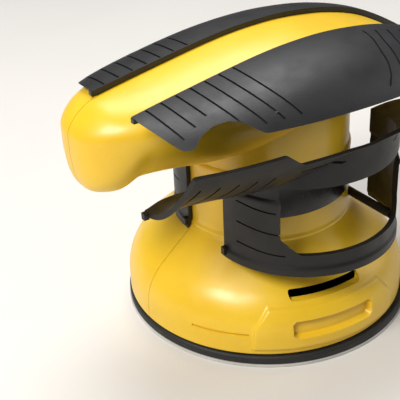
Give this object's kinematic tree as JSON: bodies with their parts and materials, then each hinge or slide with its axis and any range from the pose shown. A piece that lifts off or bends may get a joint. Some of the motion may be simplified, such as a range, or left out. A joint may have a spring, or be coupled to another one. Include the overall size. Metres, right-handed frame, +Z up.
{
  "type": "random orbital sander",
  "caption": "Round-pad orbital sander with a bell skirt, motor neck, palm handle and clip-on rubber grip covers drawn off on their guide studs.",
  "frame": {"origin": "on the motor axis, at the working face of the sanding disc", "axes": "+Z up along the motor axis, +X along the handle from the nose to the cable end, casing parted on y = 0"},
  "size_m": [0.1786, 0.1271, 0.1241],
  "materials": {
    "casing_yellow": "satin moulded shell",
    "grip_rubber": "fine-grained elastomer",
    "guard_black": "fine-grained elastomer",
    "badge_black": "smooth blank plate",
    "pad_rubber": "moulded urethane pad",
    "abrasive": "coated paper on hook backing",
    "steel": "ground steel",
    "zinc_casting": "die casting",
    "lamination": "stacked sheet",
    "copper": "enamelled wire",
    "commutator_copper": "turned copper",
    "carbon": "pressed carbon",
    "brass_part": "pressed sheet",
    "nylon_black": "glass-filled nylon",
    "nylon_grey": "moulded nylon"
  },
  "bodies": {
    "housing": {"casing_near": "casing_yellow", "casing_far": "casing_yellow", "upper_grip_far": "grip_rubber", "lower_grip_far": "guard_black", "badge_plate": "badge_black", "field_stack": "lamination", "field_coils": "copper", "lower_bearing_plate": "zinc_casting", "plate_screws": "steel", "upper_bearing_cushion": "pad_rubber", "upper_bearing_bracket": "nylon_black", "brush_holders": "brass_part", "carbon_brushes": "carbon", "brush_springs": "steel", "switch_body": "nylon_black", "cable_inlet_bush": "grip_rubber", "terminal_block": "nylon_grey", "suppressor_capacitor": "nylon_grey", "casing_screws": "steel", "lower_bearing_outer_race": "steel", "upper_bearing_outer_race": "steel"},
    "rotor": {"motor_shaft": "steel", "eccentric_counterweight": "zinc_casting", "fan": "nylon_grey", "armature_core": "lamination", "armature_windings": "copper", "commutator": "commutator_copper", "shaft_retaining_ring": "steel", "lower_bearing_inner_race": "steel", "lower_bearing_balls": "steel", "upper_bearing_inner_race": "steel", "upper_bearing_balls": "steel", "pad_bearing_outer_race": "steel"},
    "pad": {"sanding_disc": "abrasive", "backing_pad": "pad_rubber", "pad_washer": "steel", "pad_screw": "steel", "pad_spindle": "steel", "pad_bearing_inner_race": "steel", "pad_bearing_balls": "steel"},
    "rocker": {"switch_rocker": "nylon_black"},
    "upper_cover": {"upper_grip_near": "grip_rubber"},
    "lower_cover": {"lower_grip_near": "guard_black"}
  },
  "joints": [
    {"name": "motor_spin", "type": "hinge", "parent": "housing", "child": "rotor", "pos_m": [0, 0, 0.06], "axis": [0, 0, 1], "continuous": true},
    {"name": "pad_spin", "type": "hinge", "parent": "rotor", "child": "pad", "pos_m": [0.00125, 0, 0.019], "axis": [0, 0, 1], "continuous": true},
    {"name": "rocker_tilt", "type": "hinge", "parent": "housing", "child": "rocker", "pos_m": [0.0785, 0, 0.0884], "axis": [0, 1, 0], "range_deg": [0, 10]},
    {"name": "upper_cover_slide", "type": "slide", "parent": "housing", "child": "upper_cover", "axis": [0, 1, 0], "range_m": [0, 0.028]},
    {"name": "lower_cover_slide", "type": "slide", "parent": "housing", "child": "lower_cover", "axis": [0, 1, 0], "range_m": [0, 0.0255]}
  ]
}
